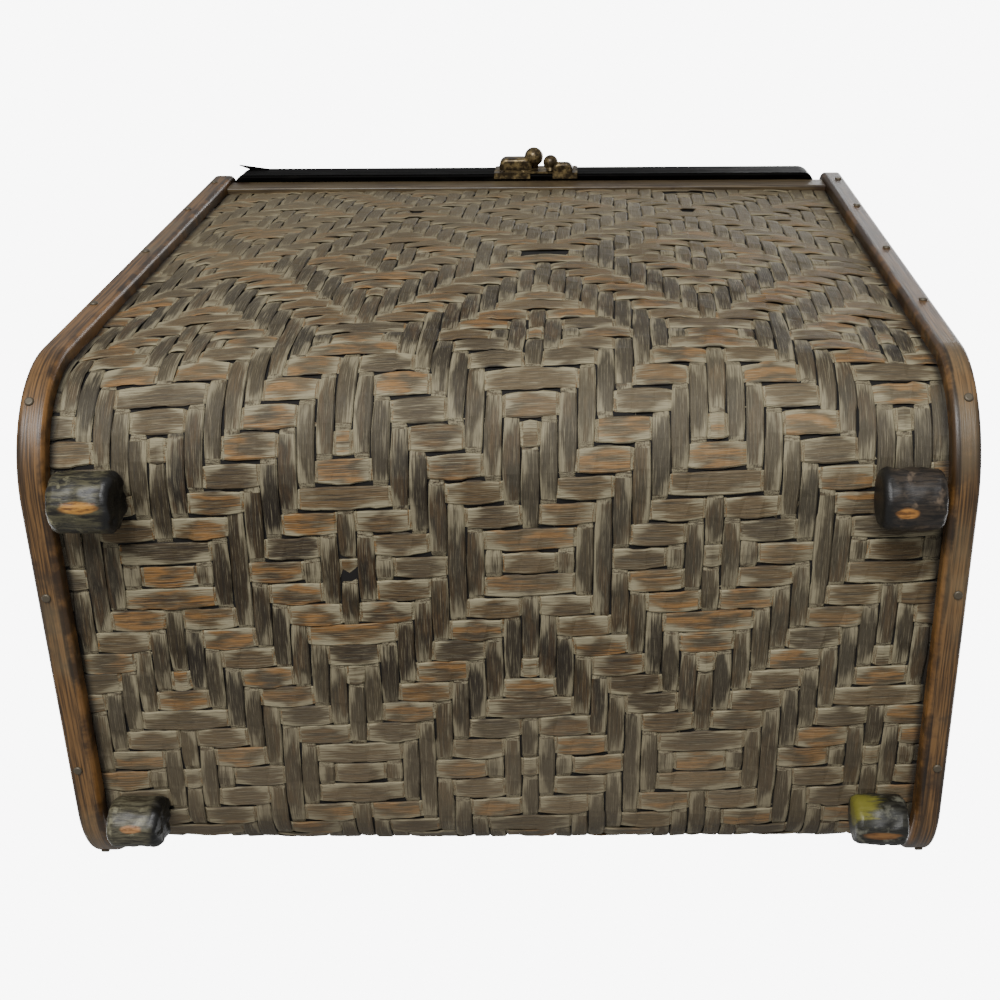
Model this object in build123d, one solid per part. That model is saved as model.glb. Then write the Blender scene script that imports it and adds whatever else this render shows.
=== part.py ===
from build123d import *
import math
import os

# A woven bamboo box bag: one long twill mat wraps the front, bottom and back, two woven
# panels close the sides, bent-wood hoops clamp every edge, and a framed woven lid with a
# bail handle turns on two hinges at the back. Millimetres, +Z up, the front faces -Y.
# The origin is on the ground, under the middle of the whole bag.

# ---- driving dimensions -----------------------------------------------------------------
width = 280.0            # across the outer faces of the two outer hoops
depth = 176.0            # front to back over the hoops
height = 280.0           # hoops, bottom to top
front_radius = 37.0      # bend of the hoops at the front bottom edge
back_radius = 29.0       # bend at the back bottom edge
top_radius = 12.0        # bend at the two top corners

hoop_width = 8.5         # outer hoop, measured along X
hoop_proud = 5.0         # outer hoop, how far it stands off the mat
hoop_round = 1.8         # rounding of the hoop's outer edges
mat_thickness = 2.0      # both layers of strips
mat_end_inset = 0.5      # the mat ends this far inside the hoop's outer face
frame_hoop_width = 8.0   # inner structural hoop, along X
frame_hoop_depth = 8.0   # the same, across the bend
panel_thickness = 2.0    # woven side panels
fit_gap = 0.3            # between a soft piece and what it meets

mouth_height = 267.0     # top edge of the mat and binding strips above the hoops' bottom
strip_height = 12.0      # binding strips, up the wall
strip_thickness = 2.5
rail_height = 5.0        # lacquered rails that cap the front and back edge
rail_depth = 13.0
rail_overhang = 0.3      # how far the rails pass the hoops' front and back
rail_gap = 0.5           # between a rail's end and the hoop beside it
rail_round = 1.2

seam = 0.3               # between the rails and the closed lid
lid_height = 10.7
lid_width = 259.0
lid_shift = -1.5         # the lid sits this far off the middle
lid_corner = 6.0         # plan radius of the lid's corners
lid_back_corner = 2.0
lid_border = 14.0        # width of the lid's lacquered border
lid_round = 1.6
lid_panel_inset = 4.0    # the woven panel lies under the border by this much
lid_panel_top = 2.2      # depth of the panel's top under the top of the border
lid_panel_thickness = 2.0
retainer_thickness = 2.5
retainer_width = 9.0

sliver_inset = 13.0      # where the split starts, from the lid's left end
sliver_drop = 3.4        # and under its top
sliver_way = (-1, -0.22, 0.16)
sliver_length = 13.5
sliver_thick = 1.7
sliver_tip = 0.25

foot_diameter = 18.0
foot_length = 18.0
foot_round = 2.2
foot_seat = 1.0          # flat planed on top, where the foot meets the mat
foot_wear = 0.25         # flat worn on the lowest line
foot_front = 33.5        # middle of the front feet behind the hoops' front
foot_back = 147.0        # and of the back feet
foot_side = 21.0         # middle of a foot in from the hoop's outer face
foot_nail_radius = 1.1
foot_nail_head = 4.0
foot_nail_length = 11.0
foot_nail_dome = 1.0

brad_radius = 0.6
brad_head = 1.4
brad_head_height = 0.7
brad_length = 11.0
brad_line = 3.2          # brads from the hoop's outer face
brad_bend = 50.0         # degrees round each lower bend from the bottom
brad_bottom_shares = (0.27, 0.84)
brad_heights = (80.0, 144.0, 208.0, 256.0)
brad_top_step = 45.0
tack_radius = 0.5        # tacks through the side panels
tack_length = 6.0
tack_head = 1.1
tack_inset = 3.2         # from the mat's inner face
tack_heights = (60.0, 130.0, 200.0)
tack_step = 40.0
hole_gap = 0.03          # round a nail in its hole

clasp_x = 4.0            # middle of the clasp
clasp_width = 37.0
clasp_metal = 0.8
clasp_notch = 10.0       # open middle of the lower plate
clasp_notch_x = 2.5      # middle of that opening from the clasp's middle
clasp_leg = 2.6          # lower plate's leg, folded under the rail
clasp_plate_top = 8.7    # upper plate, up the lid's border
lower_boss = 4.0         # pressed bosses, how far they stand off the plates
upper_boss = 4.8
ball_upper_radius = 4.2
ball_lower_radius = 3.3
ball_pitch = 7.6         # between the two balls along X
ball_upper_reach = 5.8   # ball centres in front of the rails' front face
ball_lower_reach = 4.4
arm_radius = 2.0
arm_root = 0.6           # the arms start this far in front of the rails' front face
clasp_nail_radius = 0.6
clasp_nail_head = 1.3
clasp_nail_dome = 0.5
clasp_nail_length = 7.0

hinge_x = 72.0           # middle of each hinge from the middle of the bag
hinge_width = 30.0
hinge_metal = 1.0
knuckle_radius = 2.5
hinge_pin_radius = 1.2
hinge_pin_gap = 0.05
knuckle_gap = 0.3
leaf_case_drop = 4.6
leaf_lid_rise = 8.5
screw_radius = 0.9
screw_head = 1.7
screw_head_height = 0.6
screw_length = 7.0
screw_step = 10.5
case_screw_radius = 0.6  # the case leaf is narrower, so its screws are finer
case_screw_head = 1.2
case_screw_dome = 0.5

handle_radius = 4.5
handle_reach = 78.0      # pivot line to the middle of the grip
handle_bend = 45.0
handle_span = 121.0      # pivots from the lid's middle
handle_rest_gap = 0.3
tip_radius = 3.5
tip_width = 6.0
tip_length = 9.0
ear_gap = 0.25
ear_thickness = 1.4
ear_radius = 3.8
bracket_length = 26.0
bracket_width = 11.0
bracket_metal = 1.0
handle_pin_radius = 1.5

# ---- places worked out from those -------------------------------------------------------
foot_drop = foot_diameter - foot_seat - foot_wear - hoop_proud
clasp_out = rail_overhang + ball_upper_reach + ball_upper_radius
hinge_axis_out = rail_overhang + 0.2 + knuckle_radius
hinge_out = hinge_axis_out + knuckle_radius
front = -(depth + hinge_out - clasp_out) / 2          # y of the hoops' front
back = front + depth
ground = foot_drop                                    # z of the hoops' bottom
mouth = ground + mouth_height
lid_bottom = mouth + rail_height + seam
lid_top = lid_bottom + lid_height
inner_face = width / 2 - hoop_width                   # x of the hoops' inner faces
case_face = front - rail_overhang                     # y of the rails' front face
hinge_y = back + hinge_axis_out
hinge_z = mouth + rail_height + seam / 2
middle_y = (front + back) / 2
long = 400.0                                          # longer than anything it cuts
standing = (Align.CENTER, Align.CENTER, Align.MIN)

parts = {}


# ---- helpers ----------------------------------------------------------------------------
def outline(inset):
    """The hoops' side outline, made smaller all round by inset, as a face in the YZ plane."""
    corners = [(front + inset, ground + inset), (back - inset, ground + inset),
               (back - inset, ground + height - inset), (front + inset, ground + height - inset)]
    radii = [max(r - inset, 0.8) for r in (front_radius, back_radius, top_radius, top_radius)]
    return Plane.YZ * make_face(FilletPolyline(*corners, radius=radii, close=True))


def block(x0, x1, y0, y1, z0, z1):
    """A box given by its limits."""
    return Pos((x0 + x1) / 2, (y0 + y1) / 2, (z0 + z1) / 2) * Box(x1 - x0, y1 - y0, z1 - z0)


def slab(face, x0, x1):
    """A YZ face made solid from x0 to x1."""
    return Pos(x0, 0, 0) * extrude(face, amount=x1 - x0, dir=(1, 0, 0))


def rod(start, end, radius):
    """A round bar between two points."""
    a, b = Vector(*start), Vector(*end)
    return Plane(origin=a, z_dir=b - a) * Cylinder(radius, (b - a).length, align=standing)


def nail(point, normal, shank, length, head, head_height):
    """A nail with a low domed head seated on point, its shank driven in against normal."""
    p, n = Vector(*point), Vector(*normal).normalized()
    dome = Plane(origin=p, z_dir=n) * Cylinder(head, head_height, align=standing)
    top = dome.faces().sort_by(lambda f: f.center().dot(n))[-1]
    dome = fillet(top.edges(), head_height * 0.8)
    return dome + rod(p, p - n * length, shank)


def hole(point, normal, radius, length):
    """The hole that a nail's shank runs in."""
    p, n = Vector(*point), Vector(*normal).normalized()
    return rod(p + n, p - n * (length + 0.3), radius + hole_gap)


def mirrored(shape):
    return mirror(shape, about=Plane.YZ)


# ---- mat, side panels and hoops ---------------------------------------------------------
mat_x = width / 2 - mat_end_inset
below_mouth = block(-long, long, -long, long, -long, mouth)
mat = slab(outline(hoop_proud) - outline(hoop_proud + mat_thickness), -mat_x, mat_x) & below_mouth

outer_hoop = slab(outline(0) - outline(hoop_proud), inner_face, width / 2)
rim_edges = [e for f in (outer_hoop.faces().sort_by(Axis.X)[0], outer_hoop.faces().sort_by(Axis.X)[-1])
             for e in f.outer_wire().edges()]
outer_hoop = fillet(rim_edges, hoop_round)

frame_x = mat_x - frame_hoop_width
frame_hoop = slab(outline(hoop_proud) - outline(hoop_proud + frame_hoop_depth), frame_x, mat_x) - mat

side_panel = slab(outline(hoop_proud + mat_thickness + fit_gap), frame_x - panel_thickness, frame_x)
side_panel = side_panel & block(-long, long, -long, long, -long, mouth - fit_gap)


def brad_places():
    """Points on the hoop's outer surface, with their outward normals, about every 64 mm."""
    x = width / 2 - brad_line
    places = []
    bottom_from, bottom_to = front + front_radius, back - back_radius
    for share in brad_bottom_shares:
        places.append(((x, bottom_from + share * (bottom_to - bottom_from), ground), (0, 0, -1)))
    sin, cos = math.sin(math.radians(brad_bend)), math.cos(math.radians(brad_bend))
    on_front_bend = (x, front + front_radius * (1 - sin), ground + front_radius * (1 - cos))
    on_back_bend = (x, back - back_radius * (1 - sin), ground + back_radius * (1 - cos))
    places.append((on_front_bend, (0, -sin, -cos)))
    places.append((on_back_bend, (0, sin, -cos)))
    for z in brad_heights:
        places.append(((x, front, ground + z), (0, -1, 0)))
        places.append(((x, back, ground + z), (0, 1, 0)))
    for y in (middle_y - brad_top_step, middle_y + brad_top_step):
        places.append(((x, y, ground + height), (0, 0, 1)))
    return places


brads = [nail(p, n, brad_radius, brad_length, brad_head, brad_head_height) for p, n in brad_places()]
brad_holes = [hole(p, n, brad_radius, brad_length) for p, n in brad_places()]
outer_hoop = outer_hoop - brad_holes
frame_hoop = frame_hoop - brad_holes
mat = mat - brad_holes - [mirrored(h) for h in brad_holes]


def tack_places():
    """Small tacks that hold a side panel to the inner side of its frame hoop."""
    x = frame_x - panel_thickness
    inset = hoop_proud + mat_thickness + tack_inset
    places = []
    for z in tack_heights:
        places.append((x, front + inset, ground + z))
        places.append((x, back - inset, ground + z))
    for y in (middle_y - tack_step, middle_y, middle_y + tack_step):
        places.append((x, y, ground + inset))
    return places


tacks = [nail(p, (-1, 0, 0), tack_radius, tack_length, tack_head, tack_radius) for p in tack_places()]
tack_holes = [hole(p, (-1, 0, 0), tack_radius, tack_length) for p in tack_places()]
side_panel = side_panel - tack_holes
frame_hoop = frame_hoop - tack_holes

# ---- binding strips and rails -----------------------------------------------------------
mat_front = front + hoop_proud
mat_back = back - hoop_proud
strip_x = inner_face - 0.2
strip_low = mouth - strip_height
front_strip = block(-strip_x, strip_x, mat_front - strip_thickness, mat_front, strip_low, mouth)
front_strip = fillet(front_strip.edges().filter_by(Axis.X).group_by(Axis.Y)[0], 0.7)
back_strip = block(-strip_x, strip_x, mat_back, mat_back + strip_thickness, strip_low, mouth)
back_strip = fillet(back_strip.edges().filter_by(Axis.X).group_by(Axis.Y)[-1], 0.7)
inner_strip_x = frame_x - panel_thickness - fit_gap
inner_front = front + hoop_proud + mat_thickness
inner_back = back - hoop_proud - mat_thickness
front_inner_strip = block(-inner_strip_x, inner_strip_x, inner_front, inner_front + strip_thickness,
                          strip_low, mouth)
back_inner_strip = block(-inner_strip_x, inner_strip_x, inner_back - strip_thickness, inner_back,
                         strip_low, mouth)

rail_left = -(inner_face - rail_gap)
rail_right = lid_shift + lid_width / 2
front_rail = block(rail_left, rail_right, case_face, case_face + rail_depth, mouth, mouth + rail_height)
front_rail = fillet(front_rail.edges().filter_by(Axis.Z).group_by(Axis.Y)[0], lid_corner - 1)
front_rail = fillet(front_rail.edges().group_by(Axis.Z)[0].filter_by(Axis.X).group_by(Axis.Y)[0], rail_round)
rail_rear = back + rail_overhang
back_rail = block(rail_left, -rail_left, rail_rear - rail_depth, rail_rear, mouth, mouth + rail_height)
back_rail = fillet(back_rail.edges().group_by(Axis.Z)[0].filter_by(Axis.X).group_by(Axis.Y)[-1], rail_round)

# ---- feet -------------------------------------------------------------------------------
mat_under = ground + hoop_proud


def foot(x, y):
    """A short round peg lying along X, planed on top and worn flat underneath."""
    axis_z = mat_under + foot_seat - foot_diameter / 2
    peg = Pos(x, y, axis_z) * Rot(0, 90, 0) * Cylinder(foot_diameter / 2, foot_length)
    peg = fillet(peg.edges().filter_by(GeomType.CIRCLE), foot_round)
    return peg & block(x - long, x + long, y - long, y + long, 0, mat_under)


foot_x = width / 2 - foot_side
foot_spots = {
    "foot_front_left": (-foot_x, front + foot_front), "foot_front_right": (foot_x, front + foot_front),
    "foot_back_left": (-foot_x, front + foot_back), "foot_back_right": (foot_x, front + foot_back)}
inside_floor = mat_under + mat_thickness
foot_nails = []
for name, (x, y) in foot_spots.items():
    spot = (x, y, inside_floor)
    foot_nails.append(nail(spot, (0, 0, 1), foot_nail_radius, foot_nail_length, foot_nail_head,
                           foot_nail_dome))
    bore = hole(spot, (0, 0, 1), foot_nail_radius, foot_nail_length)
    mat = mat - bore
    parts[name] = foot(x, y) - bore
foot_nails = [made - mat for made in foot_nails]      # a head beds down into the bend of the mat

# ---- lid --------------------------------------------------------------------------------
lid_left = lid_shift - lid_width / 2
lid_right = lid_shift + lid_width / 2
lid_front = case_face
lid_back = rail_rear
lid_frame = block(lid_left, lid_right, lid_front, lid_back, lid_bottom, lid_top)
lid_frame = fillet(lid_frame.edges().filter_by(Axis.Z).group_by(Axis.Y)[0], lid_corner)
lid_frame = fillet(lid_frame.edges().filter_by(Axis.Z).group_by(Axis.Y)[-1], lid_back_corner)
lid_frame = fillet(lid_frame.faces().sort_by(Axis.Z)[-1].outer_wire().edges(), lid_round)
open_x0, open_x1 = lid_left + lid_border, lid_right - lid_border
open_y0, open_y1 = lid_front + lid_border, lid_back - lid_border
lid_frame -= block(open_x0, open_x1, open_y0, open_y1, lid_bottom - 1, lid_top + 1)
panel_z1 = lid_top - lid_panel_top
panel_z0 = panel_z1 - lid_panel_thickness
ring_x0, ring_x1 = open_x0 - lid_panel_inset, open_x1 + lid_panel_inset
ring_y0, ring_y1 = open_y0 - lid_panel_inset, open_y1 + lid_panel_inset
lid_frame -= block(ring_x0, ring_x1, ring_y0, ring_y1, lid_bottom - 1, panel_z1)
lid_panel = block(ring_x0 + fit_gap, ring_x1 - fit_gap, ring_y0 + fit_gap, ring_y1 - fit_gap,
                  panel_z0, panel_z1)
retainer = block(ring_x0, ring_x1, ring_y0, ring_y1, panel_z0 - retainer_thickness, panel_z0)
retainer -= block(ring_x0 + retainer_width, ring_x1 - retainer_width, ring_y0 + retainer_width,
                  ring_y1 - retainer_width, panel_z0 - long, panel_z0 + 1)

# The split end of the lid's front border: a sliver of the edge that has lifted and points
# left and forward from the front left corner.
sliver_root = Vector(lid_left + sliver_inset, lid_front + 1.2, lid_top - sliver_drop)
sliver_plane = Plane(origin=sliver_root, z_dir=sliver_way)
sliver = sliver_plane * Cone(sliver_thick, sliver_tip, sliver_length, align=standing)
lid_frame = lid_frame + sliver

# ---- clasp ------------------------------------------------------------------------------
clasp_left = clasp_x - clasp_width / 2
clasp_right = clasp_x + clasp_width / 2
plate_out = case_face - clasp_metal
notch_left = clasp_x + clasp_notch_x - clasp_notch / 2
notch_right = notch_left + clasp_notch
lower_top = mouth + rail_height - 0.2
leg_z = mouth - clasp_metal
lower_plate = block(clasp_left, clasp_right, plate_out, case_face, leg_z, lower_top)
lower_plate += block(clasp_left, clasp_right, plate_out, plate_out + clasp_leg, leg_z, mouth)
lower_plate -= block(notch_left, notch_right, plate_out - 1, case_face + 9, leg_z - 1, mouth + 1.6)
ball_lower = (notch_left + 1.5 + ball_pitch, case_face - ball_lower_reach, mouth + 4.0)
ball_upper = (notch_left + 1.5, case_face - ball_upper_reach, mouth + rail_height + 4.4)
boss = block(notch_right, clasp_right - 2, plate_out - lower_boss, plate_out,
             leg_z + 0.3, lower_top - 0.2)
boss = fillet(boss.edges().filter_by(Axis.Z).group_by(Axis.Y)[0], lower_boss - 1.2)
lower_plate += fillet(boss.edges().group_by(Axis.Y)[0], 1.2)
lower_plate += rod((ball_lower[0], case_face - arm_root, mouth + 2.6), ball_lower, arm_radius)
# The ball is turned so that its seam stays clear of the boss that it meets.
lower_plate += Pos(*ball_lower) * Rot(0, 0, 180) * Sphere(ball_lower_radius)

upper_bottom = lid_bottom + 0.2
upper_top = lid_bottom + clasp_plate_top
upper_plate = block(clasp_left, clasp_right, plate_out, case_face, upper_bottom, upper_top)
upper_plate = fillet(upper_plate.edges().filter_by(Axis.Y), 1.6)
boss = block(clasp_left + 2, notch_left + 0.6, plate_out - upper_boss, plate_out,
             upper_bottom + 0.2, upper_top - 0.6)
boss = fillet(boss.edges().filter_by(Axis.Z).group_by(Axis.Y)[0], upper_boss - 1.4)
upper_plate += fillet(boss.edges().group_by(Axis.Y)[0], 1.6)
upper_plate += rod((ball_upper[0], case_face - arm_root, upper_top - 3.0), ball_upper, arm_radius)
upper_plate += Pos(*ball_upper) * Sphere(ball_upper_radius)

lower_nail_spots = [(clasp_left + 3.5, plate_out, mouth + 2.6), (notch_left - 3.0, plate_out, mouth + 2.6)]
upper_nail_spots = [(clasp_right - 3.0, plate_out, upper_top - 4.2),
                    (notch_right + 2.5, plate_out, upper_top - 4.2)]


def nails_out(spots, normal, length, shank, head, head_height):
    """Nails of one kind, with the holes that they run in."""
    made = [nail(p, normal, shank, length, head, head_height) for p in spots]
    bores = [hole(p, normal, shank, length) for p in spots]
    return made, bores


clasp_nail = (clasp_nail_length, clasp_nail_radius, clasp_nail_head, clasp_nail_dome)
lower_nails, bores = nails_out(lower_nail_spots, (0, -1, 0), *clasp_nail)
lower_plate = lower_plate - bores
front_rail = front_rail - bores
upper_nails, bores = nails_out(upper_nail_spots, (0, -1, 0), *clasp_nail)
upper_plate = upper_plate - bores
lid_frame = lid_frame - bores

# ---- hinges -----------------------------------------------------------------------------
knuckle = hinge_width / 3
leaf_y0, leaf_y1 = rail_rear, rail_rear + hinge_metal


def barrel(x0, x1):
    """A stretch of knuckle round the hinge line."""
    return rod((x0, hinge_y, hinge_z), (x1, hinge_y, hinge_z), knuckle_radius)


def hinge_set(x):
    """Case leaf, lid leaf and pin of the hinge whose middle is at x."""
    x0, x3 = x - hinge_width / 2, x + hinge_width / 2
    x1, x2 = x0 + knuckle, x3 - knuckle
    pin_bore = rod((x0 - 1, hinge_y, hinge_z), (x3 + 1, hinge_y, hinge_z), hinge_pin_radius + hinge_pin_gap)
    web = knuckle_radius * 0.55
    leaf_low = mouth + rail_height - leaf_case_drop
    case_leaf = block(x0, x3, leaf_y0, leaf_y1, leaf_low, hinge_z - knuckle_radius * 0.9)
    for a, b in ((x0, x1 - knuckle_gap / 2), (x2 + knuckle_gap / 2, x3)):
        case_leaf += block(a, b, leaf_y0, leaf_y1, hinge_z - knuckle_radius, hinge_z - seam / 2)
        case_leaf += block(a, b, leaf_y0, hinge_y, hinge_z - web - 0.4, hinge_z - seam / 2)
        case_leaf += barrel(a, b)
    a, b = x1 + knuckle_gap / 2, x2 - knuckle_gap / 2
    lid_leaf = block(x0, x3, leaf_y0, leaf_y1, hinge_z + knuckle_radius + 0.3, lid_bottom + leaf_lid_rise)
    lid_leaf += block(a, b, leaf_y0, leaf_y1, hinge_z + seam / 2, hinge_z + knuckle_radius + 1)
    lid_leaf += block(a, b, leaf_y0, hinge_y, hinge_z + seam / 2, hinge_z + web + 0.4)
    lid_leaf += barrel(a, b)
    pin = rod((x0 - 0.6, hinge_y, hinge_z), (x3 + 0.6, hinge_y, hinge_z), hinge_pin_radius)
    return case_leaf - pin_bore, lid_leaf - pin_bore, pin


case_screw_spots, lid_screw_spots = [], []
for side in (-1, 1):
    for step in (-screw_step, 0, screw_step):
        case_screw_spots.append((side * hinge_x + step, leaf_y1, mouth + 1.9))
        lid_screw_spots.append((side * hinge_x + step, leaf_y1, lid_bottom + 6.2))
case_screw = (screw_length, case_screw_radius, case_screw_head, case_screw_dome)
lid_screw = (screw_length, screw_radius, screw_head, screw_head_height)
case_screws, case_bores = nails_out(case_screw_spots, (0, 1, 0), *case_screw)
lid_screws, lid_bores = nails_out(lid_screw_spots, (0, 1, 0), *lid_screw)
for name, side in (("left", -1), ("right", 1)):
    case_leaf, lid_leaf, pin = hinge_set(side * hinge_x)
    parts[f"hinge_{name}_case_leaf"] = case_leaf - case_bores
    parts[f"hinge_{name}_lid_leaf"] = lid_leaf - lid_bores
    parts[f"hinge_{name}_pin"] = pin
back_rail = back_rail - case_bores
lid_frame = lid_frame - lid_bores

# ---- handle -----------------------------------------------------------------------------
pivot_z = lid_top + handle_radius + handle_rest_gap
handle_x0, handle_x1 = lid_shift - handle_span, lid_shift + handle_span
grip_y = middle_y + handle_reach
leg_y = middle_y + tip_length
route = FilletPolyline((handle_x0, leg_y, pivot_z), (handle_x0, grip_y, pivot_z),
                       (handle_x1, grip_y, pivot_z), (handle_x1, leg_y, pivot_z), radius=handle_bend)
handle = sweep(Plane(origin=route @ 0, z_dir=route % 0) * Circle(handle_radius), path=route)
for x in (handle_x0, handle_x1):
    neck = block(x - tip_width / 2, x + tip_width / 2, middle_y, leg_y + 1,
                 pivot_z - tip_radius, pivot_z + tip_radius)
    knob = rod((x - tip_width / 2, middle_y, pivot_z), (x + tip_width / 2, middle_y, pivot_z), tip_radius)
    handle += neck + knob
    handle -= rod((x - 9, middle_y, pivot_z), (x + 9, middle_y, pivot_z), handle_pin_radius + hinge_pin_gap)
bracket_screw_spots = []
for name, x in (("left", handle_x0), ("right", handle_x1)):
    plate = block(x - bracket_width / 2, x + bracket_width / 2, middle_y - bracket_length / 2,
                  middle_y + bracket_length / 2, lid_top - bracket_metal, lid_top)
    plate = fillet(plate.edges().filter_by(Axis.Z), 3.0)
    lid_frame -= plate
    bracket = plate
    for a in (x - tip_width / 2 - ear_gap - ear_thickness, x + tip_width / 2 + ear_gap):
        ear = block(a, a + ear_thickness, middle_y - ear_radius, middle_y + ear_radius,
                    lid_top - 0.2, pivot_z)
        ear += rod((a, middle_y, pivot_z), (a + ear_thickness, middle_y, pivot_z), ear_radius)
        bracket += ear
    reach = tip_width / 2 + ear_gap + ear_thickness
    pin_bore = rod((x - 12, middle_y, pivot_z), (x + 12, middle_y, pivot_z), handle_pin_radius + hole_gap)
    spots = [(x, middle_y - 10, lid_top), (x, middle_y + 10, lid_top)]
    bracket_screw_spots += spots
    sinks = [Pos(px, py, pz) * Cylinder(screw_head + hole_gap, 1.2) for px, py, pz in spots]
    bores = [hole(p, (0, 0, 1), screw_radius, screw_length) for p in spots]
    parts[f"handle_bracket_{name}"] = bracket - pin_bore - sinks - bores
    pin_reach = reach + 0.8
    parts[f"handle_pin_{name}"] = rod((x - pin_reach, middle_y, pivot_z),
                                      (x + pin_reach, middle_y, pivot_z), handle_pin_radius)
    lid_frame = lid_frame - bores
bracket_screws = []
for px, py, pz in bracket_screw_spots:
    flush = Pos(px, py, pz - 0.3) * Cylinder(screw_head, 0.6)
    bracket_screws.append(flush + rod((px, py, pz - 0.3), (px, py, pz - screw_length), screw_radius))

# ---- nodes ------------------------------------------------------------------------------
parts.update({
    "woven_mat": mat,
    "side_panel_right": side_panel, "side_panel_left": mirrored(side_panel),
    "outer_hoop_right": outer_hoop, "outer_hoop_left": mirrored(outer_hoop),
    "frame_hoop_right": frame_hoop, "frame_hoop_left": mirrored(frame_hoop),
    "hoop_brads_right": Compound(children=brads),
    "hoop_brads_left": Compound(children=[mirrored(b) for b in brads]),
    "panel_tacks_right": Compound(children=tacks),
    "panel_tacks_left": Compound(children=[mirrored(t) for t in tacks]),
    "front_binding_strip": front_strip, "back_binding_strip": back_strip,
    "front_inner_strip": front_inner_strip, "back_inner_strip": back_inner_strip,
    "front_rail": front_rail, "back_rail": back_rail,
    "foot_nails": Compound(children=foot_nails),
    "clasp_lower_plate": lower_plate, "clasp_lower_nails": Compound(children=lower_nails),
    "clasp_upper_plate": upper_plate, "clasp_upper_nails": Compound(children=upper_nails),
    "hinge_case_screws": Compound(children=case_screws), "hinge_lid_screws": Compound(children=lid_screws),
    "lid_frame": lid_frame, "lid_panel": lid_panel, "lid_retaining_ring": retainer,
    "handle": handle, "handle_bracket_screws": Compound(children=bracket_screws),
})

os.makedirs("parts", exist_ok=True)
for name, shape in parts.items():
    export_step(shape, f"parts/{name}.step")
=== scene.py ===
import bmesh
import bpy
import math
import random
from mathutils import Matrix, Vector, noise


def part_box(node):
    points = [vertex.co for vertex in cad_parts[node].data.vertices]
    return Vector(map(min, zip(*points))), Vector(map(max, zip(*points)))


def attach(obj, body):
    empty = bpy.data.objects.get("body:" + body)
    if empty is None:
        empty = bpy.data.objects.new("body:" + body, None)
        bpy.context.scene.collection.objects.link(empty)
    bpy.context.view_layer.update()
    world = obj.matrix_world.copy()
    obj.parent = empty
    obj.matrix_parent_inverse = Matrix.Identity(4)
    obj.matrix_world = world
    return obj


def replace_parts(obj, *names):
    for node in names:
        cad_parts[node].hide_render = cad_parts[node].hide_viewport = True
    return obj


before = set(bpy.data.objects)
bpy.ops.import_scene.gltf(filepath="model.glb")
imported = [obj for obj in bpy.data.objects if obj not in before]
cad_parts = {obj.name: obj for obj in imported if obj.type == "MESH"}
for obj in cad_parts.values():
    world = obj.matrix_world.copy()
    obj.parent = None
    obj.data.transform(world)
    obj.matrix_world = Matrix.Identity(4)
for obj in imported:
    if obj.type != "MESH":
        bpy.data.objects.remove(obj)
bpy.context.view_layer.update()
MM = 0.001

# ---- the bag's own measures, in millimetres ---------------------------------------------
hoop_lo, hoop_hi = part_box("outer_hoop_left")
mat_lo, mat_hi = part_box("woven_mat")
FRONT, GROUND = round(hoop_lo.y / MM, 2), round(hoop_lo.z / MM, 2)     # the hoops' front and bottom
DEPTH = round((hoop_hi.y - hoop_lo.y) / MM, 2)
MOUTH = round(mat_hi.z / MM - GROUND, 2)    # top of the mat above the hoops' bottom
MAT_X = round(mat_hi.x / MM, 2) - 0.2       # the strips run this far under each hoop
FRONT_R, BACK_R = 37.0, 29.0                # the hoops' lower bends
MID = 6.0                                   # middle of the mat inside the hoops' outline
BELLY, BACK_BELLY = 9.0, 3.0                # the front and back have slumped outwards by this much
BELLY_X = 135.0                             # and do so this far out from the middle


# ---- node and colour helpers ------------------------------------------------------------
def srgb(code):
    """A #rrggbb colour as linear red, green, blue and alpha."""
    parts = [int(code[k:k + 2], 16) / 255 for k in (1, 3, 5)]
    return tuple(c / 12.92 if c <= 0.04045 else ((c + 0.055) / 1.055) ** 2.4 for c in parts) + (1.0,)


def feed(node, inputs):
    """Gives a node's inputs their values or links."""
    for key, value in inputs.items():
        if isinstance(value, bpy.types.NodeSocket):
            node.id_data.links.new(value, node.inputs[key])
        else:
            node.inputs[key].default_value = value


def add(tree, kind, inputs=None, out=0, **settings):
    """Adds one shader node with its settings, values and links, and gives one of its outputs."""
    made = tree.nodes.new("ShaderNode" + kind)
    for key, value in settings.items():
        setattr(made, key, value)
    feed(made, inputs or {})
    return made.outputs[out]


EASED = {"interpolation_type": "SMOOTHSTEP"}    # for Map Range: inputs 1 and 2 are its ends, 4 its top
TINT = {"data_type": "RGBA", "out": 2}          # for Mix: input 0 is the share, 6 and 7 the colours


def new_material(name):
    made = bpy.data.materials.new(name)
    made.use_nodes = True
    tree = made.node_tree
    return made, tree, tree.nodes["Principled BSDF"]


# ---- materials --------------------------------------------------------------------------
# How often each pattern repeats: per millimetre on the strips' own lengths and widths, and per
# metre elsewhere, where X, Y and Z may differ.
FIBRES = (0.06, 2.1)                    # worn fibres, 17 mm long and 0.5 mm wide
HAIRS = (0.12, 5.2)                     # the finest splits, 8 mm long and 0.2 mm wide
BROAD = (0.09, 0.33)                    # stains, 11 mm long and 3 mm wide
DUST_PATCHES = 16.0                     # 62 mm across
HOOP_GRAIN = (1900.0, 42.0, 42.0)       # lines 0.5 mm apart, 24 mm long, round a hoop's bends
GRAIN_ALONG_X = (42.0, 900.0, 900.0)    # lines 1.1 mm apart on what runs across the bag
CANE_STAINS, CANE_BLOOM = 42.0, 21.0    # 24 and 48 mm across
LACQUER_RUBS = (60.0, 500.0, 500.0)     # rubs 17 mm long and 2 mm wide
BRASS_FILM = 320.0                      # spots 3 mm across
PEG_STREAKS = (130.0, 900.0, 900.0)     # streaks 8 mm long and 1.1 mm wide
PEG_BLOTCHES = 210.0                    # 5 mm across

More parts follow.
